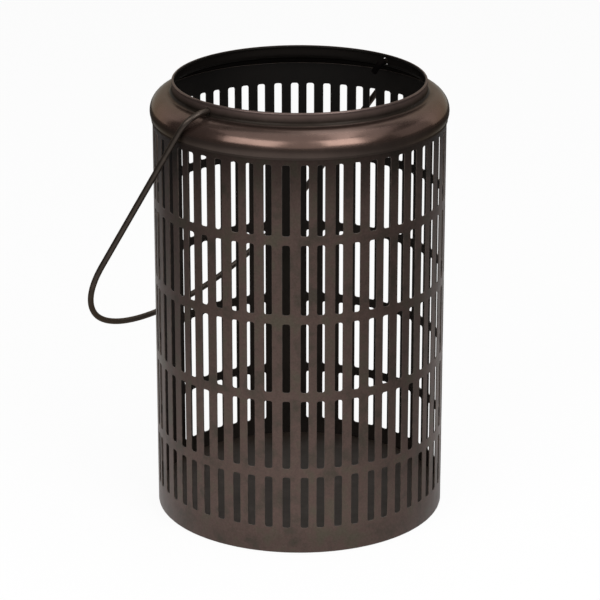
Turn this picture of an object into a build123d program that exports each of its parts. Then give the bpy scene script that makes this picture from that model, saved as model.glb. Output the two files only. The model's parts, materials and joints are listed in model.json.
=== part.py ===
"""Punched tin lantern: a slotted sheet cylinder with a spun collar, a floor and a wire bail.

Millimetres, +Z up. The origin is the centre of the ring that the lantern stands on, and
the front is towards -Y. Each piece is written to its own STEP file.
"""
import os
from math import acos, atan2, cos, degrees, radians, sin, sqrt

from build123d import *

os.makedirs("parts", exist_ok=True)

# Punched body: one rolled sheet, lapped at one slot
body_radius = 76.0            # outside
sheet = 0.5                   # thickness of all the sheet metal
base_margin = 14.3            # plain sheet below the lowest slots
short_row_height = 28.1       # the lowest row of slots
row_height = 37.0             # each of the other rows
tall_rows = 4
band_height = 4.8             # plain band between two rows
top_margin = 2.8              # plain sheet between the highest slots and the collar
slot_width = 4.0
slot_corner_radius = 1.0
slots_per_gang = 4            # slots made by each stroke of the punch
slot_step = 6.97              # degrees from slot to slot in one stroke
gang_step = 27.16             # degrees from stroke to stroke
front_angle = 196.68          # degrees from +X to the first slot of the strokes over the front
front_gangs = 7
back_angle = 37.61            # the same for the strokes over the back
back_gangs = 4
side_gangs = 2                # strokes spread evenly between the back and the front
seam_angle = 28.9             # single slot in the middle of the lap
lap_width = 10.0              # how far the two ends of the sheet overlap
lap_line = 0.5                # width of the line along the outer end of the lap
base_lip_width = 5.0          # ring turned in at the bottom, which the lantern stands on
base_edge_radius = 0.9        # rounding of the bottom edge

# Floor
floor_height = 6.0            # top of the floor above the table
floor_clearance = 0.15        # between the floor's skirt and the body
floor_edge_radius = 1.6       # outside bend of the skirt
notch_clearance = 1.0         # on each side of the lap, where the skirt is notched for it

# Collar: lip over the body, half-round bead, upright neck with a rolled rim
lip_clearance = 0.1           # between the lip and the body
lip_height = 1.2
bead_hollow_radius = 8.7      # inside radius of the bead's section
bead_relief = 0.9             # how far the hollow stands out beyond the body
seat_clearance = 0.1          # between the body's top edge and the bead above it
neck_inset = 2.2              # neck's outside from the middle of the bead's section
neck_corner_radius = 2.2      # outside, where the neck rises from the bead
rim_roll_diameter = 1.6

# Bail: one bent wire that turns in two holes of the neck
wire_diameter = 3.2
hole_clearance = 0.3          # round the wire
hole_rise = 1.0               # from the top of the bead to each hole
hole_land = 0.6               # neck left between each hole and the rolled rim
pivot_angle = 46.1            # degrees, direction of the line through both holes
rest_drop = 52.8              # degrees that the bail hangs below level
bail_gap = 0.7                # between the bail's shoulders and the bead, along the pivot line
shoulder_radius = 10.0        # bends outside the neck
leg_length = 123.8
leg_taper = 7.5               # how far each leg leans in over its length
side_radius = 81.0            # arcs from the legs to the crown
crown_half_angle = 48.7       # degrees
hook_gap = 1.1                # between the hooked ends and the rolled rim
hook_radius = 2.4             # bends inside the neck
hook_length = 7.5

# Places that follow from the sizes above
wire_radius = wire_diameter / 2
hole_radius = wire_radius + hole_clearance
body_inside = body_radius - sheet
lap_half_angle = degrees(lap_width / 2 / body_inside)
slots_top = base_margin + short_row_height + tall_rows * (band_height + row_height)

bead_centre_r = body_radius + bead_relief - bead_hollow_radius
bead_outside_radius = bead_hollow_radius + sheet
bead_edge_r = bead_centre_r + bead_outside_radius
lip_inside = body_radius + lip_clearance
lip_outside = lip_inside + sheet
lip_bottom_z = slots_top + top_margin
lip_angle_in = acos((lip_inside - bead_centre_r) / bead_hollow_radius)
lip_angle_out = acos((lip_outside - bead_centre_r) / bead_outside_radius)
bead_centre_z = lip_bottom_z + lip_height + bead_hollow_radius * sin(lip_angle_in)
bead_top_z = bead_centre_z + bead_outside_radius
seat_rise = sqrt(bead_hollow_radius**2 - (body_radius - bead_centre_r) ** 2)
body_top_z = bead_centre_z + seat_rise - seat_clearance

neck_outside = bead_centre_r - neck_inset
neck_inside = neck_outside - sheet
corner_x = neck_outside + neck_corner_radius
corner_angle = acos((corner_x - bead_centre_r) / (bead_outside_radius + neck_corner_radius))
corner_z = bead_centre_z + (bead_outside_radius + neck_corner_radius) * sin(corner_angle)
pivot_z = bead_top_z + hole_rise + hole_radius
rim_z = pivot_z + hole_radius + hole_land + rim_roll_diameter
roll_radius = rim_roll_diameter / 2
roll_z = rim_z - roll_radius

last_back_angle = back_angle + (back_gangs - 1) * gang_step
side_step = (front_angle - last_back_angle) / (side_gangs + 1)
gang_angles = [front_angle + gang * gang_step for gang in range(front_gangs)]
gang_angles += [back_angle + gang * gang_step for gang in range(back_gangs)]
gang_angles += [last_back_angle + (gang + 1) * side_step for gang in range(side_gangs)]
slot_angles = [seam_angle]
slot_angles += [first + slot * slot_step for first in gang_angles for slot in range(slots_per_gang)]


def slot_plane(angle):
    """Plane in the wall at an angle, x round the body and y up from the table."""
    outward = Vector(1, 0, 0).rotate(Axis.Z, angle)
    return Plane(origin=outward * body_inside, x_dir=outward.rotate(Axis.Z, 90), z_dir=outward)


def on_bead(radius, angle):
    """Point of the collar's section at an angle round the middle of the bead."""
    return (bead_centre_r + radius * cos(angle), bead_centre_z + radius * sin(angle))


def in_corner(radius):
    """Middle of the bend between the bead and the neck, at a radius round the bend's centre."""
    return (corner_x - radius * cos(corner_angle / 2), corner_z - radius * sin(corner_angle / 2))


def lap_ring_piece(inside, outside, margin):
    """Closed outline of the piece of a ring that the lap covers, with a margin at both ends."""
    margin_angle = degrees(margin / body_inside)
    start = seam_angle - lap_half_angle - margin_angle
    size = 2 * (lap_half_angle + margin_angle)
    inner = CenterArc((0, 0), inside, start, size)
    outer = CenterArc((0, 0), outside, start, size)
    Line(inner @ 0, outer @ 0)
    Line(inner @ 1, outer @ 1)


# Body shell: wall, ring turned in at the bottom, lap seam, rows of slots
with BuildPart() as body_shell:
    with BuildSketch(Plane.XZ):
        with BuildLine():
            Polyline(
                (body_radius - base_lip_width, 0),
                (body_radius, 0),
                (body_radius, body_top_z),
                (body_inside, body_top_z),
                (body_inside, sheet),
                (body_radius - base_lip_width, sheet),
                close=True,
            )
        make_face()
    revolve(axis=Axis.Z)
    bottom_edges = body_shell.edges().filter_by(GeomType.CIRCLE).group_by(Axis.Z)[0]
    fillet(bottom_edges.sort_by(SortBy.RADIUS)[-1], base_edge_radius)

    # the line along the outer end of the lap, then the inner end behind it
    with BuildSketch(Plane.XY.offset(base_edge_radius)):
        with PolarLocations(body_radius, 1, seam_angle - lap_half_angle + degrees(lap_line / body_radius)):
            Rectangle(4 * sheet, lap_line)
    extrude(amount=body_top_z, mode=Mode.SUBTRACT)
    with BuildSketch(Plane.XY.offset(sheet)):
        with BuildLine():
            lap_ring_piece(body_inside - sheet, body_inside, 0)
        make_face()
    extrude(amount=body_top_z - sheet)

    # rows of slots, from the lowest up, through the wall at each slot's angle
    with BuildSketch(*[slot_plane(angle) for angle in slot_angles]):
        row_bottom = base_margin
        for row in range(tall_rows + 1):
            slot_height = short_row_height if row == 0 else row_height
            with Locations((0, row_bottom + slot_height / 2)):
                RectangleRounded(slot_width, slot_height, slot_corner_radius)
            row_bottom += slot_height + band_height
    extrude(amount=2 * sheet, both=True, mode=Mode.SUBTRACT)

# Collar, spun from one profile, with the two bail holes through the neck
pivot_direction = Vector(1, 0, 0).rotate(Axis.Z, pivot_angle)
with BuildPart() as collar:
    with BuildSketch(Plane.XZ):
        with BuildLine():
            lip_out = on_bead(bead_outside_radius, -lip_angle_out)
            lip_in = on_bead(bead_hollow_radius, -lip_angle_in)
            corner_out = on_bead(bead_outside_radius, corner_angle)
            corner_in = on_bead(bead_hollow_radius, corner_angle)
            neck_out = (neck_outside, corner_z)
            neck_in = (neck_inside, corner_z)
            Polyline(lip_in, (lip_inside, lip_bottom_z), (lip_outside, lip_bottom_z), lip_out)
            ThreePointArc(lip_out, on_bead(bead_outside_radius, radians(35)), corner_out)
            ThreePointArc(corner_out, in_corner(neck_corner_radius), neck_out)
            Polyline(neck_out, (neck_outside, roll_z), (neck_inside, roll_z), neck_in)
            ThreePointArc(neck_in, in_corner(neck_corner_radius + sheet), corner_in)
            ThreePointArc(corner_in, on_bead(bead_hollow_radius, radians(35)), lip_in)
        make_face()
        with Locations((neck_outside - roll_radius, roll_z)):
            Circle(roll_radius)
    revolve(axis=Axis.Z)
    with BuildSketch(Plane(origin=(0, 0, pivot_z), z_dir=pivot_direction)):
        Circle(hole_radius)
    extrude(amount=bead_edge_r, both=True, mode=Mode.SUBTRACT)

# Floor: a dished plate whose skirt stands on the ring turned in at the bottom
floor_outside = body_inside - floor_clearance
with BuildPart() as floor_plate:
    with BuildSketch(Plane.XZ):
        with BuildLine():
            Polyline(
                (0, floor_height),
                (floor_outside, floor_height),
                (floor_outside, sheet),
                (floor_outside - sheet, sheet),
                (floor_outside - sheet, floor_height - sheet),
                (0, floor_height - sheet),
                close=True,
            )
        make_face()
    revolve(axis=Axis.Z)
    top_edges = floor_plate.edges().filter_by(GeomType.CIRCLE).group_by(Axis.Z)[-1]
    fillet(top_edges.sort_by(SortBy.RADIUS)[-1], floor_edge_radius)
    with BuildSketch():
        with BuildLine():
            lap_ring_piece(body_inside - sheet - floor_clearance, body_radius, notch_clearance)
        make_face()
    extrude(amount=2 * floor_height, mode=Mode.SUBTRACT)

# Bail: its line in the plane in which it hangs, x along the pivot line and y down the bail
leg_lean = atan2(leg_taper, leg_length)
foot_x = bead_edge_r + wire_radius + bail_gap
shoulder_x = foot_x - shoulder_radius * (1 + sin(leg_lean)) / cos(leg_lean)
leg_foot = (
    shoulder_x + shoulder_radius * cos(leg_lean),
    shoulder_radius + shoulder_radius * sin(leg_lean),
)
leg_top = (foot_x - leg_taper, leg_length)
side_x = leg_top[0] - side_radius * cos(leg_lean)
side_y = leg_top[1] - side_radius * sin(leg_lean)
crown_angle = radians(crown_half_angle)
crown_radius = (side_x + side_radius * sin(crown_angle)) / sin(crown_angle)
crown_y = side_y + (side_radius - crown_radius) * cos(crown_angle)
hook_x = neck_outside - rim_roll_diameter - hook_gap - wire_radius
swing_down = Vector(-sin(radians(pivot_angle)), cos(radians(pivot_angle)), 0) * cos(radians(rest_drop))
swing_down += Vector(0, 0, -sin(radians(rest_drop)))
swing_plane = Plane(
    origin=(0, 0, pivot_z), x_dir=pivot_direction, z_dir=pivot_direction.cross(swing_down)
)
with BuildPart() as bail_handle:
    with BuildLine(swing_plane) as bail_line:
        for side in (1, -1):
            Line((side * hook_x, hook_length), (side * hook_x, hook_radius))
            ThreePointArc(
                (side * hook_x, hook_radius),
                (side * (hook_x + hook_radius * (1 - sqrt(0.5))), hook_radius * (1 - sqrt(0.5))),
                (side * (hook_x + hook_radius), 0),
            )
            Line((side * (hook_x + hook_radius), 0), (side * shoulder_x, 0))
            half_turn = (leg_lean - radians(90)) / 2
            ThreePointArc(
                (side * shoulder_x, 0),
                (
                    side * (shoulder_x + shoulder_radius * cos(half_turn)),
                    shoulder_radius + shoulder_radius * sin(half_turn),
                ),
                (side * leg_foot[0], leg_foot[1]),
            )
            Line((side * leg_foot[0], leg_foot[1]), (side * leg_top[0], leg_top[1]))
            crown_end = (
                side_x + side_radius * sin(crown_angle),
                side_y + side_radius * cos(crown_angle),
            )
            half_way = (leg_lean + radians(90) - crown_angle) / 2
            ThreePointArc(
                (side * leg_top[0], leg_top[1]),
                (side * (side_x + side_radius * cos(half_way)), side_y + side_radius * sin(half_way)),
                (side * crown_end[0], crown_end[1]),
            )
        ThreePointArc(
            (crown_end[0], crown_end[1]), (0, crown_y + crown_radius), (-crown_end[0], crown_end[1])
        )
    bail_wire = bail_line.wires()[0]
    with BuildSketch(Plane(origin=bail_wire @ 0, z_dir=bail_wire % 0)):
        Circle(wire_radius)
    sweep(path=bail_wire)

body_shell.part.label = "body_shell"
export_step(body_shell.part, "parts/body_shell.step")
collar.part.label = "collar"
export_step(collar.part, "parts/collar.step")
floor_plate.part.label = "floor_plate"
export_step(floor_plate.part, "parts/floor_plate.step")
bail_handle.part.label = "bail_handle"
export_step(bail_handle.part, "parts/bail_handle.step")

print("rim", round(rim_z, 2), "pivot", round(pivot_z, 2), "bead edge", round(bead_edge_r, 2))
print("bead middle", round(bead_centre_r, 2), round(bead_centre_z, 2), "body top", round(body_top_z, 2))
print("bail crown at", round(crown_y + crown_radius, 2), "slots in a row", len(slot_angles))
print("bail to collar", round(bail_handle.part.distance(collar.part), 3))
print("bail to body", round(bail_handle.part.distance(body_shell.part), 3))
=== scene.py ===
# %% [markdown]
# # A punched tin lantern
# This lesson dresses a lantern of dark bronze: a slotted sheet tube with a rounded collar, a
# floor and a wire bail. The frame comes first. It holds the four pieces at their real size in
# metres, standing on z = 0 with the front towards -Y. They could all be modelled again here, but
# the frame is what moves and collides. So the pieces stay where they are and get their finishes
# in place, and only the punched tube gets a finer twin.

# %% Load the frame
import json
import math

import bpy
from mathutils import Euler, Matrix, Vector

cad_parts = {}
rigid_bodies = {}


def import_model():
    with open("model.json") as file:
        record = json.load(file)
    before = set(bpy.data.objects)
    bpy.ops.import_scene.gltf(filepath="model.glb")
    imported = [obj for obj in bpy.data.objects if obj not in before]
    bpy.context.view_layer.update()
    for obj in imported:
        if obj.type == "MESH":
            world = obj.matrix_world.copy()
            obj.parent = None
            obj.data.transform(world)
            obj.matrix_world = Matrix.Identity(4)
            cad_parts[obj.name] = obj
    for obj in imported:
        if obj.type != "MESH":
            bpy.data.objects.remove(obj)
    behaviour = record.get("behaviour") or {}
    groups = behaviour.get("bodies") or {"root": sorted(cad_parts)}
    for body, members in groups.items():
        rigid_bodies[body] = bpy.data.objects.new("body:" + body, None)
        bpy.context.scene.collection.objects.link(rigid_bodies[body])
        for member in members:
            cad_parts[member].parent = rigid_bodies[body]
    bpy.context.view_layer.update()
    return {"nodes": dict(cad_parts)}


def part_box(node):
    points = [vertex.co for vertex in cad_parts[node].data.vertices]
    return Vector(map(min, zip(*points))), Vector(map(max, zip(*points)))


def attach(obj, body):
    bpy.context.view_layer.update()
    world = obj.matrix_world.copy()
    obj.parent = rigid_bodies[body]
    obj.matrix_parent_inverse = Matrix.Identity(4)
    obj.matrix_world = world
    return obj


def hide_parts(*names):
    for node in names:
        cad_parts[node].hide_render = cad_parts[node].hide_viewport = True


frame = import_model()
nodes = frame["nodes"]
scene = bpy.context.scene
scene.view_settings.view_transform = "Standard"
print("pieces:", sorted(nodes))

# %% [markdown]
# ## Camera
# The lantern stands below the eye, so its rim and its foot show as ellipses. A camera close by
# would make the rim's ellipse much flatter than the foot's and draw the sides together. From a
# metre and a half away the sides stay almost parallel, and a long lens fills the picture.

# %% Camera
camera_distance = 1.4537
camera_height = 0.6363
look_down = 19.838
camera_data = bpy.data.cameras.new("studio_camera")
camera_data.sensor_width = 36.0
camera_data.lens = 175.44
camera_data.shift_x = 0.0007
camera = bpy.data.objects.new("studio_camera", camera_data)
camera.location = (0.0, -camera_distance, camera_height)
camera.rotation_euler = Euler((math.radians(90.0 - look_down), 0.0, 0.0))
scene.collection.objects.link(camera)
scene.camera = camera
print("camera:", camera_distance, "m in front,", look_down, "degrees down")

# %% [markdown]
# ## Helpers for node trees
# The room, the finishes and the punched sheet are all node trees. They could be drawn by hand in
# the node editor, but a script can be read, changed and run again. Four small helpers keep it
# short: an empty tree, a node with its settings, a value or a link into a socket, and one step
# of arithmetic.


# %% Helpers for node trees
def new_tree(owner):
    """Empty node tree of a material or a world."""
    owner.use_nodes = True
    owner.node_tree.nodes.clear()
    return owner.node_tree


def add(tree, kind, **settings):
    """One node. Settings are attributes, or values of the inputs of that name."""
    node = tree.nodes.new(kind)
    for name, value in settings.items():
        if hasattr(node, name):
            setattr(node, name, value)
        else:
            node.inputs[name.replace("_", " ")].default_value = value
    return node


def put(tree, value, socket):
    """A number, a colour or another socket's output into a socket."""
    if isinstance(value, bpy.types.NodeSocket):
        tree.links.new(value, socket)
    else:
        socket.default_value = value


def calc(tree, operation, *values):
    """One step of arithmetic on numbers and sockets."""
    node = add(tree, "ShaderNodeMath", operation=operation)
    for value, socket in zip(values, node.inputs):
        put(tree, value, socket)
    return node.outputs[0]


print("helpers:", [helper.__name__ for helper in (new_tree, add, put, calc)])

# %% [markdown]
# ## Room
# Bronze shows mainly what it reflects. In a room that is white all round the lantern would turn
# pale and flat, and the highlights on its bead would drown. So the room is dim. The ground behind
# the lantern is white all the same: Light Path tells the rays apart, and those of the camera, or
# through something clear, meet white instead of the room.


# %% Room
def path_of(tree, kinds):
    """1 for rays of the given kinds, such as Is Camera Ray, and 0 for all others."""
    path = add(tree, "ShaderNodeLightPath").outputs
    share = path[kinds[0]]
    for kind in kinds[1:]:
        share = calc(tree, "MAXIMUM", share, path[kind])
    return share


def mix_shaders(tree, share, first, second):
    """Mix of two shaders; a share of 0 is all of the first."""
    node = add(tree, "ShaderNodeMixShader")
    for value, socket in zip((share, first, second), node.inputs):
        put(tree, value, socket)
    return node.outputs[0]


room_level = 0.10
room_tint = (1.0, 0.99, 0.98, 1.0)
white = (1.0, 1.0, 1.0, 1.0)
rays_to_white = ["Is Camera Ray", "Is Transmission Ray"]
scene.world = bpy.data.worlds.new("studio_world")
tree = new_tree(scene.world)
dim_room = add(tree, "ShaderNodeBackground", Color=room_tint, Strength=room_level).outputs[0]
white_room = add(tree, "ShaderNodeBackground", Color=white, Strength=1.0).outputs[0]
room = mix_shaders(tree, path_of(tree, rays_to_white), dim_room, white_room)
put(tree, room, add(tree, "ShaderNodeOutputWorld").inputs["Surface"])
print("room:", room_level, "of white, and white to", rays_to_white)

# %% [markdown]
# ## Table
# The lantern stands on a pale table, and the foot of the body is lighter than its top because it
# mirrors the table. One evenly lit plane would lighten the whole body alike. So the light lies in
# two oval pools, one before the lantern and one behind it, that fade to their rims. Each pool is
# a spherical gradient, stretched by a Mapping node. The camera sees an even white with a little
# plain paint left in it, which keeps the soft shadow at the foot.


# %% Pools of light
unlit = 0.08


def glow(tree, strength):
    """White emission; the strength is a number or a socket."""
    node = add(tree, "ShaderNodeEmission", Color=white)
    put(tree, strength, node.inputs["Strength"])
    return node.outputs[0]


def spread(tree, value, to, over=(0.0, 1.0), kind="LINEAR"):
    """A value's run over (start, stop), made a run to (first, last)."""
    node = add(tree, "ShaderNodeMapRange", interpolation_type=kind)
    put(tree, value, node.inputs["Value"])
    for socket, number in zip(("From Min", "From Max", "To Min", "To Max"), (*over, *to)):
        node.inputs[socket].default_value = number
    return node.outputs["Result"]


def light_pool(tree, coords, middle, radii, rise, level):
    """Oval pool of light that rises from its rim to level, over the share rise of its radius."""
    # On a mapping of type Texture, Location is the pool's middle and Scale its radii
    place = add(tree, "ShaderNodeMapping", vector_type="TEXTURE")
    place.inputs["Location"].default_value = (*middle, 0.0)
    place.inputs["Scale"].default_value = (*radii, 1.0)
    put(tree, coords, place.inputs["Vector"])
    oval = add(tree, "ShaderNodeTexGradient", gradient_type="SPHERICAL")
    put(tree, place.outputs[0], oval.inputs["Vector"])
    return spread(tree, oval.outputs["Fac"], (unlit, level), (0.0, rise), "SMOOTHSTEP")


table_finish = bpy.data.materials.new("pale_table")
tree = new_tree(table_finish)
coords = add(tree, "ShaderNodeTexCoord").outputs["Object"]
pool_before = light_pool(tree, coords, (-0.085, -0.18), radii=(0.44, 0.53), rise=0.80, level=0.90)
pool_behind = light_pool(tree, coords, (0.0, 0.30), radii=(0.50, 0.45), rise=0.45, level=0.85)
pools = calc(tree, "MAXIMUM", pool_before, pool_behind)
print("pools of light:", len(tree.nodes), "nodes")


# %% Table
def stage_plane(name, corners, material):
    """A plane of the studio, which is no part of the lantern."""
    mesh = bpy.data.meshes.new(name)
    mesh.from_pydata(corners, [], [(0, 1, 2, 3)])
    mesh.materials.append(material)
    plane = bpy.data.objects.new(name, mesh)
    scene.collection.objects.link(plane)
    return plane


pool_share = 0.85
even_share = 0.93
dull_paint = add(tree, "ShaderNodeBsdfDiffuse", Color=(0.6, 0.6, 0.6, 1.0)).outputs[0]
pale_paint = add(tree, "ShaderNodeBsdfDiffuse", Color=(0.95, 0.95, 0.95, 1.0)).outputs[0]
to_lantern = mix_shaders(tree, pool_share, dull_paint, glow(tree, pools))
to_camera = mix_shaders(tree, even_share, pale_paint, glow(tree, 1.0))
table_look = mix_shaders(tree, path_of(tree, rays_to_white), to_lantern, to_camera)
put(tree, table_look, add(tree, "ShaderNodeOutputMaterial").inputs["Surface"])
table_half = 8.0
table_top = -0.0002
square = ((-1, -1), (1, -1), (1, 1), (-1, 1))
table_corners = [(x * table_half, y * table_half, table_top) for x, y in square]
table = stage_plane("studio_table", table_corners, table_finish)
print("table:", 2 * table_half, "m square, its top at", table_top)

# %% [markdown]
# ## Backdrop
# A white backdrop stands behind the lantern. The rim, the inside of the wall and the edges of the
# slots mirror it, while its plain light on the lantern stays faint. A brighter room would do this
# too, but on every side. The camera can't see the backdrop: the white room takes its place there,
# so that it hides nothing in a view from behind.

# %% Backdrop
backdrop_y = 1.6
backdrop_half = 3.0
backdrop_top = 2.2
faint = 0.25
backdrop_finish = bpy.data.materials.new("white_backdrop")
tree = new_tree(backdrop_finish)
backdrop_rays = path_of(tree, [*rays_to_white, "Is Glossy Ray"])
backdrop_look = mix_shaders(tree, backdrop_rays, glow(tree, faint), glow(tree, 1.0))
put(tree, backdrop_look, add(tree, "ShaderNodeOutputMaterial").inputs["Surface"])
backdrop_corners = [
    (-backdrop_half, backdrop_y, table_top),
    (backdrop_half, backdrop_y, table_top),
    (backdrop_half, backdrop_y, backdrop_top),
    (-backdrop_half, backdrop_y, backdrop_top),
]
backdrop = stage_plane("studio_backdrop", backdrop_corners, backdrop_finish)
backdrop.visible_camera = False
print("backdrop:", backdrop_y, "m behind the middle of the lantern")

# %% [markdown]
# ## Lamps
# Two low softboxes draw the two long highlights on the bead. A narrow strip overhead adds a warm
# sheen above the right one, a broad scrim fills in softly from above, and a dim card keeps the
# bead's right end from going black. Highlights could be painted into the finish, but they would
# stay put when the lantern is seen from another side. Each lamp is an area lamp that faces the
# collar, placed by its azimuth and elevation: one number then walks a highlight along the bead.


# %% Lamps
lit_height = 0.22


def softbox(name, azimuth, elevation, distance, width, height, power):
    """An area lamp that faces the collar; azimuth is from the camera's side, to the right."""
    turn, rise = math.radians(azimuth), math.radians(elevation)
    to_right = math.sin(turn) * math.cos(rise)
    to_back = -math.cos(turn) * math.cos(rise)
    away = Vector((to_right, to_back, math.sin(rise)))
    data = bpy.data.lights.new(name, "AREA")
    data.shape = "RECTANGLE"
    data.size = width
    data.size_y = height
    data.energy = power
    lamp = bpy.data.objects.new(name, data)
    lamp.visible_camera = False
    lamp.location = Vector((0.0, 0.0, lit_height)) + away * distance
    lamp.rotation_euler = away.to_track_quat("Z", "Y").to_euler()
    scene.collection.objects.link(lamp)
    return lamp


lamps = [
    softbox("softbox_left", azimuth=-37, elevation=26, distance=1.3, width=0.98, height=0.75, power=6.6),
    softbox("softbox_right", azimuth=34, elevation=28, distance=1.3, width=0.62, height=0.75, power=5.9),
    softbox("strip_above", azimuth=110, elevation=73.5, distance=1.3, width=2.4, height=0.35, power=5.2),
    softbox("scrim_above", azimuth=12, elevation=52.5, distance=1.5, width=3.5, height=3.9, power=33),
    softbox("card_right", azimuth=98, elevation=16, distance=1.3, width=1.0, height=0.7, power=0.8),
]
print("lamps:", [lamp.name for lamp in lamps])

# %% [markdown]
# ## Finishes
# Each finish is a Principled shader on which three things vary over the surface: colour,
# roughness and the fine relief in its normal. They could come from pictures, but noise on Object
# coordinates needs no unwrapping, keeps its real scale in metres and has no seam. What is the
# same all over, such as how metallic a finish is, is set on the shader itself.


# %% Helpers for colour
def noise(tree, coords, scale, detail=2.0, rough=0.5):
    """Noise texture on given coordinates; scale is per metre."""
    node = add(tree, "ShaderNodeTexNoise", Scale=scale, Detail=detail, Roughness=rough)
    put(tree, coords, node.inputs["Vector"])
    return node.outputs["Fac"]


def ramp(tree, value, *stops):
    """Colour ramp from (place, colour) stops; a number stands for a grey."""
    node = add(tree, "ShaderNodeValToRGB")
    while len(node.color_ramp.elements) < len(stops):
        node.color_ramp.elements.new(0.5)
    for element, (place, colour) in zip(node.color_ramp.elements, stops):
        element.position = place
        element.color = (*colour, 1.0) if isinstance(colour, tuple) else (colour, colour, colour, 1.0)
    put(tree, value, node.inputs["Fac"])
    return node.outputs["Color"]


def mix_colours(tree, share, first, second, blend="MIX"):
    """Mix of two colours; each is a tuple or a socket."""
    node = add(tree, "ShaderNodeMix", data_type="RGBA", blend_type=blend)
    # A Mix node's colours are its inputs 6 and 7 and its output 2
    for value, socket in zip((share, first, second), (node.inputs[0], node.inputs[6], node.inputs[7])):
        put(tree, (*value, 1.0) if isinstance(value, tuple) else value, socket)
    return node.outputs[2]


print("colour helpers:", [helper.__name__ for helper in (noise, ramp, mix_colours)])


# %% Helpers for a whole finish
def bump(tree, relief, depth, strength, under=None):
    """Normal from a relief texture; depth is in metres, and under is another bump's normal."""
    node = add(tree, "ShaderNodeBump", Strength=strength, Distance=depth)
    put(tree, relief, node.inputs["Height"])
    if under is not None:
        put(tree, under, node.inputs["Normal"])
    return node.outputs["Normal"]


def finish(name, make, **fixed):
    """A material: make(tree, coords) gives colour, roughness and normal; fixed sets other sockets."""
    material = bpy.data.materials.new(name)
    tree = new_tree(material)
    coords = add(tree, "ShaderNodeTexCoord").outputs["Object"]
    shader = add(tree, "ShaderNodeBsdfPrincipled", **fixed)
    for socket, value in zip(("Base Color", "Roughness", "Normal"), make(tree, coords)):
        put(tree, value, shader.inputs[socket])
    put(tree, shader.outputs[0], add(tree, "ShaderNodeOutputMaterial").inputs["Surface"])
    print("finish:", name, "of", len(tree.nodes), "nodes")
    return material


print("finish helpers:", [helper.__name__ for helper in (bump, finish)])

# %% [markdown]
# ## Sheet paint
# Outside, the sheet has a satin bronze paint: brown with metal in it, mottled in warm and grey
# clouds about a centimetre wide, over a fine grain. It is darker under the collar and at the
# foot: painted shade, for the dim room that the top of the body mirrors and for the table's
# shadow beside the foot. One flat colour would look like plastic. Two layers of noise give the
# clouds and the grain, two smooth steps over the height give the painted shade, and very
# shallow dents keep the reflections from being too even.


# %% Sheet paint
def height_of(tree, coords):
    """Height above the table."""
    split = add(tree, "ShaderNodeSeparateXYZ")
    put(tree, coords, split.inputs[0])
    return split.outputs["Z"]


# Heights over which painted shade darkens the sheet, under the collar and at the foot
shade_below_collar = (0.180, 0.213)
shade_at_foot = (0.004, 0.022)
grain_share = 0.6


def sheet_paint(tree, coords):
    """Satin bronze in clouds and grain, with painted shade under the collar and at the foot."""
    clouds = ramp(
        tree,
        noise(tree, coords, scale=75.0, detail=5.0, rough=0.65),
        (0.34, (0.087, 0.070, 0.056)),
        (0.50, (0.127, 0.085, 0.073)),
        (0.66, (0.110, 0.091, 0.069)),
    )
    height = height_of(tree, coords)
    # Painted shade: darker under the collar and at the foot, from how light falls there
    below_collar = spread(tree, height, (1.0, 0.45), shade_below_collar, "SMOOTHSTEP")
    at_foot = spread(tree, height, (0.78, 1.0), shade_at_foot, "SMOOTHSTEP")
    sheet_shade = calc(tree, "MULTIPLY", below_collar, at_foot)
    clouds = mix_colours(tree, 1.0, clouds, sheet_shade, "MULTIPLY")
    grain = noise(tree, coords, scale=900.0, detail=3.0, rough=0.7)
    speckle = ramp(tree, grain, (0.3, 0.68), (0.7, 1.08))
    colour = mix_colours(tree, grain_share, clouds, speckle, "MULTIPLY")
    rough = spread(tree, noise(tree, coords, scale=160.0, detail=3.0), (0.38, 0.50))
    dents = bump(tree, noise(tree, coords, scale=38.0), depth=0.0008, strength=0.2)
    return colour, rough, bump(tree, grain, depth=0.00004, strength=0.4, under=dents)


body_paint = finish("sheet_paint", sheet_paint, Metallic=0.9)

# %% [markdown]
# ## Inside paint and cut edges
# Inside, the paint is thin and dull. It could share the outside's finish, but the inner wall shows
# between the slots as a near black, and without that the slots would not stand out. So it has a
# finish of its own, with little shine, painted near black as painted shade where little light
# falls, and darker still towards the mouth under the collar. At the cut edges of the slots the
# paint is rubbed thin, and a lighter finish catches the light there.


# %% Inside paint and cut edges
# Heights over which painted shade darkens the inside towards the mouth
inside_shade_heights = (0.120, 0.205)


def shaded_inside_paint(tree, coords):
    """Thin dull paint in painted shade: near black, and darker still towards the mouth."""
    mottle = noise(tree, coords, scale=30.0, detail=4.0, rough=0.6)
    # Painted shade: the inside wall is painted near black
    colour = ramp(tree, mottle, (0.3, (0.013, 0.010, 0.008)), (0.75, (0.024, 0.018, 0.014)))
    # Painted shade, darker still towards the mouth under the collar
    mouth_shade = spread(tree, height_of(tree, coords), (1.0, 0.22), inside_shade_heights, "SMOOTHSTEP")
    colour = mix_colours(tree, 1.0, colour, mouth_shade, "MULTIPLY")
    grain = noise(tree, coords, scale=1500.0)
    return colour, spread(tree, mottle, (0.6, 0.75)), bump(tree, grain, depth=0.00004, strength=0.5)


def cut_edge(tree, coords):
    """Edges of the slots, where the paint is rubbed thin."""
    wear = noise(tree, coords, scale=300.0, detail=4.0, rough=0.6)
    colour = ramp(tree, wear, (0.4, (0.055, 0.042, 0.035)), (0.7, (0.12, 0.088, 0.07)))
    return colour, spread(tree, wear, (0.45, 0.35)), bump(tree, wear, depth=0.00005, strength=0.3)


inside_dark = finish("shaded_inside_paint", shaded_inside_paint, Specular_IOR_Level=0.15)
rubbed_edge = finish("rubbed_edge", cut_edge, Metallic=0.4)

# %% [markdown]
# ## Floor paint
# The floor is a pressed disc, seen through the mouth and the lowest slots. It is painted as the
# inside is, but light falls on it through the mouth, and candles scuff it. One noise does three
# jobs here: where it is high the paint is lighter, smoother and a little raised, so that colour,
# gloss and relief of a scuff belong together.


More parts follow.
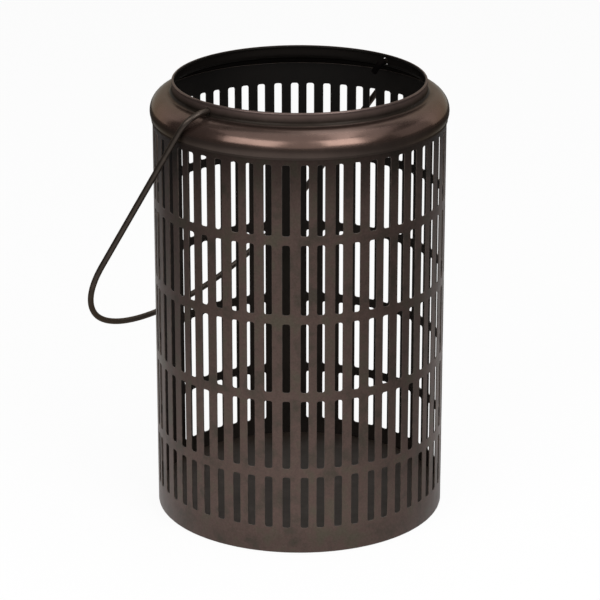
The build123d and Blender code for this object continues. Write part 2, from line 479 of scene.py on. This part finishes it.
# %% Floor paint
def floor_paint(tree, coords):
    """Brown paint with lighter, smoother scuffs."""
    scuffs = noise(tree, coords, scale=90.0, detail=5.0, rough=0.65)
    colour = ramp(
        tree,
        scuffs,
        (0.30, (0.026, 0.018, 0.013)),
        (0.60, (0.036, 0.025, 0.018)),
        (0.78, (0.052, 0.037, 0.027)),
    )
    return colour, spread(tree, scuffs, (0.65, 0.45)), bump(tree, scuffs, depth=0.0001, strength=0.3)


floor_finish = finish("floor_paint", floor_paint, Specular_IOR_Level=0.3)

# %% [markdown]
# ## Collar finish
# The collar is spun from sheet: a lip, a half-round bead, and a neck with a rolled rim. Its dark
# bronze is rubbed to copper on the round of the bead and on the rim. The groove below the neck is
# painted nearly black, and so is the whole inner side: painted shade, where little light reaches.
# The mesh could be split into regions, but the frame's meshes stay as they are. So the finish asks
# where it is: a point of a turned piece has a place in its section, given by its distance from the
# axis and its height. The place tells the inner side of the sheet from the outer, and the height
# picks the band.


# %% Place in the section of a turned piece
def section_place(tree, coords):
    """Distance from the axis and height above the table, also as one point of the section."""
    split = add(tree, "ShaderNodeSeparateXYZ")
    put(tree, coords, split.inputs[0])
    x, y, height = split.outputs
    squares = calc(tree, "ADD", calc(tree, "POWER", x, 2.0), calc(tree, "POWER", y, 2.0))
    out_from_axis = calc(tree, "SQRT", squares)
    place = add(tree, "ShaderNodeCombineXYZ")
    put(tree, out_from_axis, place.inputs["X"])
    put(tree, height, place.inputs["Y"])
    return out_from_axis, height, place.outputs[0]


def apart(tree, place, middle):
    """Distance in the section from a point of it."""
    node = add(tree, "ShaderNodeVectorMath", operation="DISTANCE")
    put(tree, place, node.inputs[0])
    node.inputs[1].default_value = middle
    return node.outputs["Value"]


print("section helpers:", [helper.__name__ for helper in (section_place, apart)])

# %% Inner side of the collar
# The middle of the sheet is the border between its outer and its inner side
sheet = 0.0005
half_sheet = sheet / 2
neck_radius = 0.0660
bead_radius = 0.0092
bend_radius = 0.0022
bead_middle = (neck_radius + bend_radius, 0.21724, 0.0)
bend_middle = (bead_middle[0], bead_middle[1] + bead_radius + bend_radius, 0.0)
neck_wall = neck_radius - half_sheet
rim_wall = 0.0649
rim_low = 0.2318


def collar_inside(tree, out_from_axis, height, place):
    """1 on the inner side of the collar's sheet: the bead's hollow, the bend and the neck."""
    in_bead = calc(tree, "LESS_THAN", apart(tree, place, bead_middle), bead_radius - half_sheet)
    in_bend = calc(tree, "GREATER_THAN", apart(tree, place, bend_middle), bend_radius + half_sheet)
    in_bend = calc(tree, "MULTIPLY", in_bend, calc(tree, "LESS_THAN", height, bend_middle[1]))
    in_bend = calc(tree, "MULTIPLY", in_bend, calc(tree, "LESS_THAN", out_from_axis, bend_middle[0]))
    on_rim = calc(tree, "GREATER_THAN", height, rim_low)
    wall = calc(tree, "MULTIPLY_ADD", on_rim, rim_wall - neck_wall, neck_wall)
    in_neck = calc(tree, "LESS_THAN", out_from_axis, wall)
    return calc(tree, "MAXIMUM", calc(tree, "MAXIMUM", in_bead, in_bend), in_neck)


print("bead:", bead_radius, "m about", [round(v, 5) for v in bead_middle[:2]])

# %% Bands up the collar
collar_low, collar_high = (corner.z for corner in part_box("collar"))
# Each height above the table with its colour, then with its roughness
bronze_bands = [
    (0.2124, (0.085, 0.064, 0.055)),
    (0.2176, (0.090, 0.064, 0.054)),
    (0.2192, (0.150, 0.096, 0.078)),
    (0.2240, (0.150, 0.098, 0.082)),
    (0.2263, (0.140, 0.097, 0.082)),
    # Painted shade: the two near-black bands are the groove below the neck
    (0.2271, (0.026, 0.020, 0.016)),
    (0.2284, (0.028, 0.021, 0.017)),
    (0.2294, (0.080, 0.059, 0.050)),
    (0.2316, (0.170, 0.120, 0.106)),
    (0.2328, (0.140, 0.100, 0.090)),
]
polish_bands = [
    (0.2124, 0.36),
    (0.2176, 0.32),
    (0.2192, 0.20),
    (0.2235, 0.22),
    (0.2264, 0.34),
    (0.2274, 0.52),
    (0.2316, 0.50),
    (0.2324, 0.36),
]


def up_the_collar(bands):
    """Bands at heights, as stops of a ramp that runs from the collar's lip to its rim."""
    return [((height - collar_low) / (collar_high - collar_low), value) for height, value in bands]


print("collar from", round(collar_low, 4), "to", round(collar_high, 4))


# %% Rubbed bronze
band_wander = 0.0009
tarnish_share = 0.5
# Painted shade on the collar's whole inner side
inside_shade_black = (0.012, 0.010, 0.009)
inside_rough = 0.6


def rubbed_bronze(tree, coords):
    """Dark bronze, rubbed to copper on the bead and the rim, with painted shade in the groove and
    inside.
    """
    out_from_axis, height, place = section_place(tree, coords)
    inside = collar_inside(tree, out_from_axis, height, place)
    stain = noise(tree, coords, scale=70.0, detail=5.0, rough=0.6)
    wander = calc(tree, "MULTIPLY_ADD", stain, band_wander, -band_wander / 2)
    share = spread(tree, calc(tree, "ADD", height, wander), (0.0, 1.0), (collar_low, collar_high))
    bands = ramp(tree, share, *up_the_collar(bronze_bands))
    tarnish = ramp(tree, stain, (0.3, 0.62), (0.7, 1.0))
    bands = mix_colours(tree, tarnish_share, bands, tarnish, "MULTIPLY")
    # Painted shade: the inner side of the sheet takes the near black
    colour = mix_colours(tree, inside, bands, inside_shade_black)
    polish = ramp(tree, share, *up_the_collar(polish_bands))
    wear = spread(tree, noise(tree, coords, scale=240.0, detail=3.0), (-0.04, 0.05))
    dull_inside = calc(tree, "MULTIPLY", inside, inside_rough)
    rough = calc(tree, "MAXIMUM", calc(tree, "ADD", polish, wear), dull_inside)
    return colour, rough, bump(tree, noise(tree, coords, scale=60.0), depth=0.0005, strength=0.1)


collar_finish = finish(
    "rubbed_bronze",
    rubbed_bronze,
    Metallic=0.9,
    Specular_Tint=(0.40, 0.39, 0.34, 1.0),
    Coat_Weight=0.05,
    Coat_Roughness=0.12,
)

# %% [markdown]
# ## Wire paint
# The bail is one bent wire, painted brown and rubbed in a few places. Its hooked ends lie inside
# the neck, in shade, and are painted near black: painted shade. They could be given a material of
# their own, but the wire is one piece, so the finish turns to that painted shade by the distance
# from the lantern's axis. Object coordinates go along with the wire, so the painted shade stays on
# its hooks however the bail swings.


# %% Wire paint
# Distance from the axis over which the hooks' painted shade gives way to the brown paint
unshaded_beyond = (0.0635, 0.0665)
hook_shade_black = (0.004, 0.003, 0.003)


def wire_paint(tree, coords):
    """Brown paint on wire, with a few rubbed places and painted shade on the hooks inside the neck."""
    out_from_axis = section_place(tree, coords)[0]
    unshaded = spread(tree, out_from_axis, (0.0, 1.0), unshaded_beyond, "SMOOTHSTEP")
    stain = noise(tree, coords, scale=110.0, detail=4.0, rough=0.6)
    colour = ramp(
        tree,
        stain,
        (0.35, (0.058, 0.047, 0.040)),
        (0.60, (0.072, 0.058, 0.049)),
        (0.78, (0.105, 0.080, 0.067)),
    )
    # Painted shade: the hooks inside the neck are painted near black
    colour = mix_colours(tree, unshaded, hook_shade_black, colour)
    rough = calc(tree, "MAXIMUM", spread(tree, stain, (0.34, 0.48)), spread(tree, unshaded, (0.8, 0.0)))
    grain = noise(tree, coords, scale=1500.0)
    return colour, rough, bump(tree, grain, depth=0.00004, strength=0.4)


bail_finish = finish("wire_paint", wire_paint, Metallic=0.9, Specular_Tint=(0.38, 0.35, 0.32, 1.0))

# %% [markdown]
# ## Finishes onto the frame's pieces
# The collar, the floor and the bail have the right shape already, so they are shown as they are.
# They could be copied and dressed as new pieces, but a finish in a mesh's own material slot does
# the same and moves nothing.

# %% Finishes onto the frame's pieces
cad_finishes = {"collar": collar_finish, "bail_handle": bail_finish, "floor_plate": floor_finish}
for node_name, material in cad_finishes.items():
    nodes[node_name].data.materials.clear()
    nodes[node_name].data.materials.append(material)
print("dressed:", sorted(cad_finishes))

# %% [markdown]
# ## Section of the punched body
# The body is one sheet, turned in at the foot, punched with five rows of slots, rolled up and
# lapped at one slot. The slots could be cut with booleans, but hundreds of cuts are slow and leave
# ragged faces. A grid laid out along the slots keeps every edge clean: its columns and rows of
# points are the edges of the slots, and the faces in the slots are left out. The section comes
# first, from the foot ring to the top. Each slot has four points in it: its two ends, and the two
# places where its rounded corners start.

# %% Section of the sheet
body_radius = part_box("body_shell")[1].x
body_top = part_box("body_shell")[1].z
foot_ring = 0.005
foot_edge = 0.0009
base_margin = 0.0143
short_row, tall_row, tall_rows = 0.0281, 0.0370, 4
row_heights = [short_row] + [tall_row] * tall_rows
band_height = 0.0048
slot_corner = 0.001
section = [(body_radius - foot_ring, 0.0)]
for turn in (0, 30, 60, 90):
    bend = math.radians(turn)
    bend_out = body_radius - foot_edge + foot_edge * math.sin(bend)
    section.append((bend_out, foot_edge - foot_edge * math.cos(bend)))
first_slot_row = len(section)
row_low = base_margin
for row_height in row_heights:
    row_high = row_low + row_height
    slot_heights = (row_low, row_low + slot_corner, row_high - slot_corner, row_high)
    section += [(body_radius, height) for height in slot_heights]
    row_low = row_high + band_height
section.append((body_radius, body_top))
print("section:", len(section), "points, slots from row", first_slot_row)

# %% Object that carries the section
section_mesh = bpy.data.meshes.new("sheet_section")
section_edges = [(i, i + 1) for i in range(len(section) - 1)]
section_mesh.from_pydata([(out, 0.0, height) for out, height in section], section_edges, [])
sheet_object = bpy.data.objects.new("sheet_section", section_mesh)
scene.collection.objects.link(sheet_object)
print("section object:", sheet_object.name, "with", len(section_edges), "edges")

# %% [markdown]
# ## Sizes of the punched sheet
# A press cuts four slots at a stroke, then the sheet moves on. Evenly spaced slots would be
# simpler, but on the real sheet the strokes can be told apart: the bar between two of them is
# narrower than the bars within one. Geometry Nodes suit work that repeats by a rule. The tree has
# a named input for each size, so that a slot's width or a step of the press can be changed without
# touching the tree. Angles are in degrees, counted from +X.

# %% Inputs of the sheet's tree
back_angle, front_angle = 37.61, 196.68
back_gangs, side_gangs = 4, 2
gang_step = 27.16
last_back_angle = back_angle + (back_gangs - 1) * gang_step
sheet_sizes = {
    "Slots": 53,
    "Slot Width": 0.0040,
    "Slot Corner": slot_corner,
    "Radius": body_radius,
    "Sheet": sheet,
    "Seam Angle": 28.9,
    "Lap Width": 0.010,
    "Lap Line": 0.0005,
    "Back Angle": back_angle,
    "Back Gangs": back_gangs,
    "Side Gangs": side_gangs,
    "Side Step": (front_angle - last_back_angle) / (side_gangs + 1),
    "Gang Step": gang_step,
    "Slot Step": 6.97,
    "Slots Per Gang": 4,
    "Unevenness": 0.00012,
    "Seed": 7,
}
rolled = bpy.data.node_groups.new("punched_sheet", "GeometryNodeTree")
rolled.interface.new_socket("Section", in_out="INPUT", socket_type="NodeSocketGeometry")
socket_of = {}
for name, value in sheet_sizes.items():
    kind = "NodeSocketInt" if isinstance(value, int) else "NodeSocketFloat"
    socket_of[name] = rolled.interface.new_socket(name, in_out="INPUT", socket_type=kind).identifier
rolled.interface.new_socket("Sheet", in_out="OUTPUT", socket_type="NodeSocketGeometry")
given = add(rolled, "NodeGroupInput").outputs
print("inputs:", len(socket_of), "sizes, side step", round(sheet_sizes["Side Step"], 3))

# %% [markdown]
# ## Grid and slots
# The sheet starts as a flat grid, with four columns of points to each slot and a row for each point
# of the section. Blender numbers a grid's points column by column, so a point's column
# and row come from its number. They are stored as attributes, because the numbers change once
# faces are deleted. A slot has nine faces: the middle one and the four beside it go, and the four
# in its corners stay, to be drawn back to rounded corners. Tests fall on halves, between two
# whole numbers, where rounding can't tip them.


# %% Grid with each point's column and row
def op(operation, *values):
    """Arithmetic in the sheet's tree."""
    return calc(rolled, operation, *values)


def column_of(number, column_length):
    """Column of a point or face, from its number in the grid."""
    return op("FLOOR", op("DIVIDE", op("ADD", number, 0.5), float(column_length)))


def store(geometry, name, value):
    """The geometry with a number stored at each point."""
    node = add(rolled, "GeometryNodeStoreNamedAttribute", data_type="FLOAT", domain="POINT")
    put(rolled, geometry, node.inputs["Geometry"])
    put(rolled, name, node.inputs["Name"])
    put(rolled, value, node.inputs["Value"])
    return node.outputs["Geometry"]


points_to_slot = 4
end_columns = 2
rows = len(section)
columns = op("MULTIPLY_ADD", given["Slots"], float(points_to_slot), float(end_columns))
grid = add(rolled, "GeometryNodeMeshGrid")
put(rolled, columns, grid.inputs["Vertices X"])
put(rolled, rows, grid.inputs["Vertices Y"])
index = add(rolled, "GeometryNodeInputIndex").outputs[0]
numbered = store(grid.outputs["Mesh"], "column", column_of(index, rows))
numbered = store(numbered, "row", op("MODULO", index, float(rows)))
print("grid of", points_to_slot * sheet_sizes["Slots"] + end_columns, "by", rows, "points")


# %% Slots left out
def place_in_slot(number, first):
    """Place of a column or row in its slot, 0 to 3; first is where the first slot starts."""
    return op("MODULO", op("ADD", number, float(2 * points_to_slot - first)), float(points_to_slot))


first_slot_column = 1
middle_face = 1.0
past_slot = 2.5
face_column = column_of(index, rows - 1)
face_row = op("SUBTRACT", index, op("MULTIPLY", face_column, float(rows - 1)))
face_across = place_in_slot(face_column, first_slot_column)
face_along = place_in_slot(face_row, first_slot_row)
in_slot = op("MULTIPLY", op("LESS_THAN", face_across, past_slot), op("LESS_THAN", face_along, past_slot))
in_slot = op("MULTIPLY", in_slot, op("GREATER_THAN", face_row, first_slot_row - 0.5))
in_middle_column = op("COMPARE", face_across, middle_face, 0.1)
in_middle_row = op("COMPARE", face_along, middle_face, 0.1)
in_cross = op("MAXIMUM", in_middle_column, in_middle_row)
punched = add(rolled, "GeometryNodeDeleteGeometry", domain="FACE")
put(rolled, numbered, punched.inputs["Geometry"])
put(rolled, op("MULTIPLY", in_slot, in_cross), punched.inputs["Selection"])
print("slots:", sheet_sizes["Slots"] * len(row_heights))

# %% [markdown]
# ## Angle of each slot
# The first slot stands alone in the middle of the lap. The others come in gangs, one for each
# stroke: over the back and over the front the strokes are a wide step apart, and between the two,
# on one side, a narrower step. The angle of a slot then follows from its number, its gang and its
# place in the gang. A list of angles could be read in instead, but the rule is shorter and stays
# true when a step is changed.


# %% Gang of each slot
def stored(name):
    """A number that was stored at each point."""
    node = add(rolled, "GeometryNodeInputNamedAttribute", data_type="FLOAT")
    put(rolled, name, node.inputs["Name"])
    return node.outputs["Attribute"]


column, row = stored("column"), stored("row")
slot = op("FLOOR", op("DIVIDE", op("SUBTRACT", column, 0.5), float(points_to_slot)))
after_seam = op("SUBTRACT", slot, 1.0)
per_gang = given["Slots Per Gang"]
gang = op("FLOOR", op("DIVIDE", op("ADD", after_seam, 0.5), per_gang))
in_gang = op("SUBTRACT", after_seam, op("MULTIPLY", gang, per_gang))
print("gangs:", (sheet_sizes["Slots"] - 1) // sheet_sizes["Slots Per Gang"])


# %% Angle of each slot
def either(test, if_true, if_false):
    """One of two numbers, by a test that gives 0 or 1."""
    return op("MULTIPLY_ADD", test, op("SUBTRACT", if_true, if_false), if_false)


last_back = op("SUBTRACT", given["Back Gangs"], 1.0)
side_steps = op("ADD", given["Side Gangs"], 1.0)
past_back = op("MAXIMUM", op("SUBTRACT", gang, last_back), 0.0)
narrow_steps = op("MINIMUM", past_back, side_steps)
over_front = op("MAXIMUM", op("SUBTRACT", past_back, side_steps), 0.0)
wide_steps = op("ADD", op("MINIMUM", gang, last_back), over_front)
gang_angle = op("MULTIPLY_ADD", wide_steps, given["Gang Step"], given["Back Angle"])
gang_angle = op("MULTIPLY_ADD", narrow_steps, given["Side Step"], gang_angle)
slot_angle = op("MULTIPLY_ADD", in_gang, given["Slot Step"], gang_angle)
slot_angle = either(op("LESS_THAN", slot, 0.5), given["Seam Angle"], slot_angle)
print("last stroke over the back at", round(last_back_angle, 2), "degrees")

# %% [markdown]
# ## Edges and corners
# Each slot's four columns of points lie about its middle: two at its edges, and two where its
# corners start. The points at the corners move out and up or down onto the corner's arc, half way
# round it. Slots that are all alike would look drawn rather than punched, so each is off by up to
# about a tenth of a millimetre, by a random number with a fixed seed.

# %% Small unevenness of the slots
chance = add(rolled, "FunctionNodeRandomValue", data_type="FLOAT")
# Inputs 2 and 3 and output 1 are for numbers, the ones before them for vectors
lowest, highest = chance.inputs[2], chance.inputs[3]
lowest.default_value = -1.0
highest.default_value = 1.0
put(rolled, slot, chance.inputs["ID"])
put(rolled, given["Seed"], chance.inputs["Seed"])
uneven = op("MULTIPLY", chance.outputs[1], given["Unevenness"])
print("slots are off by up to", sheet_sizes["Unevenness"], "m")


# %% Edges and corners of each slot
slot_middle = (points_to_slot - 1) / 2


def is_inner(place):
    """1 for the two inner points of a slot's four."""
    return op("COMPARE", place, slot_middle, 0.6)


across = place_in_slot(column, first_slot_column)
along = place_in_slot(row, first_slot_row)
inner_column = is_inner(across)
inner_row = op("MULTIPLY", is_inner(along), op("GREATER_THAN", row, first_slot_row - 0.5))
at_corner = op("MULTIPLY", inner_column, inner_row)
to_arc = op("MULTIPLY", op("MULTIPLY", given["Slot Corner"], math.sqrt(0.5)), at_corner)
half_width = op("MULTIPLY", given["Slot Width"], 0.5)
from_middle = op("SUBTRACT", half_width, op("MULTIPLY", given["Slot Corner"], inner_column))
from_middle = op("ADD", from_middle, to_arc)
side = op("SIGN", op("SUBTRACT", across, slot_middle))
degrees_per_metre = op("DIVIDE", math.degrees(1.0), given["Radius"])
from_slot_angle = op("MULTIPLY", op("MULTIPLY_ADD", side, from_middle, uneven), degrees_per_metre)
edge_angle = op("ADD", from_slot_angle, slot_angle)
corner_rise = op("MULTIPLY", to_arc, op("SIGN", op("SUBTRACT", along, slot_middle)))
print("tree so far:", len(rolled.nodes), "nodes")

# %% [markdown]
# ## Rolling and lapping the sheet
# The flat sheet is rolled by giving each point a place: its row's radius and height come from the
# section, and its column's angle turns it about the axis. A Curve to Mesh sweep would give the
# tube too, but not slots that follow the strokes. The outer end of the sheet shows as a fine
# upright line. Behind it the inner end carries on past the single slot, one sheet deeper, so the
# first columns are rolled a second time at that smaller radius.

# %% Ends of the sheet
full_turn = 360.0
half_lap = op("MULTIPLY", op("MULTIPLY", given["Lap Width"], 0.5), degrees_per_metre)
line_angle = op("MULTIPLY", given["Lap Line"], degrees_per_metre)
lap_low = op("SUBTRACT", given["Seam Angle"], half_lap)
lap_high = op("ADD", given["Seam Angle"], half_lap)
start_angle = op("ADD", lap_low, line_angle)
end_angle = op("ADD", lap_low, full_turn)
at_start = op("LESS_THAN", column, 0.5)
at_end = op("GREATER_THAN", column, op("SUBTRACT", columns, 1.5))
angle = either(at_end, end_angle, either(at_start, start_angle, edge_angle))
print("lap of", sheet_sizes["Lap Width"], "m at", sheet_sizes["Seam Angle"], "degrees")

# %% Point of the section for each row
sample = add(rolled, "GeometryNodeSampleIndex", data_type="FLOAT_VECTOR", domain="POINT")
put(rolled, given["Section"], sample.inputs["Geometry"])
put(rolled, add(rolled, "GeometryNodeInputPosition").outputs[0], sample.inputs["Value"])
put(rolled, row, sample.inputs["Index"])
split_point = add(rolled, "ShaderNodeSeparateXYZ")
put(rolled, sample.outputs["Value"], split_point.inputs[0])
section_point = split_point.outputs
print("rows to roll:", rows)


# %% Roll
def roll(mesh, degrees_round, out_from_axis):
    """The flat mesh set at an angle and a radius, at its row's height."""
    turn = op("RADIANS", degrees_round)
    place = add(rolled, "ShaderNodeCombineXYZ")
    put(rolled, op("MULTIPLY", out_from_axis, op("COSINE", turn)), place.inputs["X"])
    put(rolled, op("MULTIPLY", out_from_axis, op("SINE", turn)), place.inputs["Y"])
    put(rolled, op("ADD", section_point["Z"], corner_rise), place.inputs["Z"])
    move = add(rolled, "GeometryNodeSetPosition")
    put(rolled, mesh, move.inputs["Geometry"])
    put(rolled, place.outputs[0], move.inputs["Position"])
    return move.outputs["Geometry"]


outer_sheet = roll(punched.outputs["Geometry"], angle, section_point["X"])
print("tree so far:", len(rolled.nodes), "nodes")

# %% Lap
# The inner end takes in the single slot's columns, starts one degree behind the outer end, and
# lies a little more than one sheet deeper, so that the two don't touch
lap_columns = 5.0
lap_tuck = 1.0
lap_depth = 1.05
above_foot = op("GREATER_THAN", row, first_slot_row - 1.5)
lap = add(rolled, "GeometryNodeSeparateGeometry", domain="FACE")
put(rolled, punched.outputs["Geometry"], lap.inputs["Geometry"])
put(rolled, op("MULTIPLY", op("LESS_THAN", column, lap_columns), above_foot), lap.inputs["Selection"])
lap_angle = either(at_start, op("SUBTRACT", lap_low, lap_tuck), edge_angle)
lap_angle = op("MINIMUM", lap_angle, lap_high)
lap_radius = op("SUBTRACT", section_point["X"], op("MULTIPLY", given["Sheet"], lap_depth))
inner_end = roll(lap.outputs["Selection"], lap_angle, lap_radius)
print("lap lies", lap_depth, "sheets deeper")

# %% End of the tree
both = add(rolled, "GeometryNodeJoinGeometry")
put(rolled, outer_sheet, both.inputs[0])
put(rolled, inner_end, both.inputs[0])
smooth = add(rolled, "GeometryNodeSetShadeSmooth")
put(rolled, both.outputs[0], smooth.inputs["Geometry"])
realize = add(rolled, "GeometryNodeRealizeInstances")
put(rolled, smooth.outputs[0], realize.inputs[0])
paint = add(rolled, "GeometryNodeSetMaterial")
put(rolled, realize.outputs[0], paint.inputs["Geometry"])
paint.inputs["Material"].default_value = body_paint
put(rolled, paint.outputs[0], add(rolled, "NodeGroupOutput").inputs[0])
print("sheet tree of", len(rolled.nodes), "nodes")

# %% [markdown]
# ## Thickness and soft edges
# So far the sheet has no thickness. Solidify gives it half a millimetre inwards, with the inside
# paint on the new wall and the rubbed finish on the rim of every slot. Bevel then rounds the edges
# by about a tenth of a millimetre, because a perfectly sharp edge never catches the light. Both
# could be built into the tree, but as modifiers they are shorter to set up and easy to change.

# %% Thickness and soft edges
punch = sheet_object.modifiers.new("punched_sheet", "NODES")
punch.node_group = rolled
for name, value in sheet_sizes.items():
    punch[socket_of[name]] = value
thicken = sheet_object.modifiers.new("thickness", "SOLIDIFY")
thicken.thickness = sheet
thicken.offset = -1.0
thicken.material_offset = 1
thicken.material_offset_rim = 2
soften = sheet_object.modifiers.new("soft_edges", "BEVEL")
soften.width = 0.00012
soften.segments = 2
soften.limit_method = "ANGLE"
soften.angle_limit = math.radians(50.0)
soften.harden_normals = True
soften.material = 3
print("modifiers:", [modifier.name for modifier in sheet_object.modifiers])

# %% [markdown]
# ## Plain mesh for the body shell
# Live modifiers would do in this file, but a plain mesh is what an export can read. So they are
# baked into one, which rides on the lantern and stands for the frame's body shell. That one stays
# hidden, for collision. A grid starts with an empty material slot, so the sheet's three finishes
# lie one slot further on until the mesh is baked and they move back.


# %% Plain mesh for the body shell
def bake(source, name, materials):
    """The evaluated object as a plain mesh with the given materials; the source is removed."""
    evaluated = source.evaluated_get(bpy.context.evaluated_depsgraph_get())
    mesh = bpy.data.meshes.new_from_object(evaluated)
    mesh.name = name
    places = [face.material_index for face in mesh.polygons]
    first_place = min(places)
    mesh.materials.clear()
    for material in materials:
        mesh.materials.append(material)
    mesh.polygons.foreach_set("material_index", [place - first_place for place in places])
    piece = bpy.data.objects.new(name, mesh)
    scene.collection.objects.link(piece)
    bpy.data.objects.remove(source)
    return piece


sheet_finishes = (body_paint, inside_dark, rubbed_edge)
for material in (body_paint, *sheet_finishes):
    section_mesh.materials.append(material)
punched_body = bake(sheet_object, "punched_body", sheet_finishes)
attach(punched_body, "lantern")
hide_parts("body_shell")
print("punched body:", len(punched_body.data.polygons), "faces")
